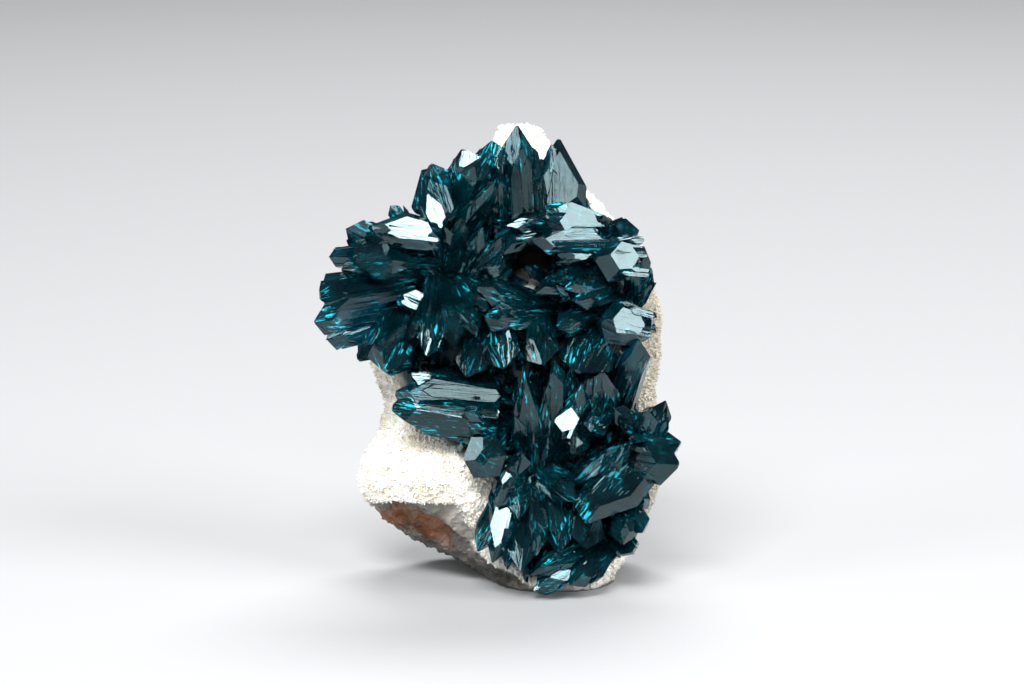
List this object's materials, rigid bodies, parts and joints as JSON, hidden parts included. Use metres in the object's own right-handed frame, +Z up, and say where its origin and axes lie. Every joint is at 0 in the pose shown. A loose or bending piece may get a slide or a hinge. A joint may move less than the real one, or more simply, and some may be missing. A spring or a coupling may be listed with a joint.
{
  "type": "veszelyite mineral specimen",
  "caption": "Upright miniature mineral specimen: sprays of dark blue-green bladed crystals on white drusy rock with a flat foot.",
  "frame": {"origin": "middle of the flat broken foot that the rock stands on", "axes": "+Z up, -Y towards the display side with the crystals, +X to the right as the display side is seen"},
  "size_m": [0.0368, 0.025, 0.0461],
  "materials": {
    "drusy_rock": "cream-white sugary druse over grey broken rock",
    "veszelyite": "dark blue-green glassy crystal, striated along its length"
  },
  "bodies": {
    "root": {"matrix_rock": "drusy_rock", "crown_spray": "veszelyite", "upper_left_spray": "veszelyite", "left_spray": "veszelyite", "left_wing_spray": "veszelyite", "centre_fan": "veszelyite", "centre_spray": "veszelyite", "upper_right_spray": "veszelyite", "right_spray": "veszelyite", "shoulder_spray": "veszelyite", "spear_spray": "veszelyite", "left_tablet": "veszelyite", "stub_crystal": "veszelyite", "right_plate_spray": "veszelyite", "lower_spray": "veszelyite", "foot_spray": "veszelyite", "hollow_crystal": "veszelyite"}
  },
  "joints": []
}
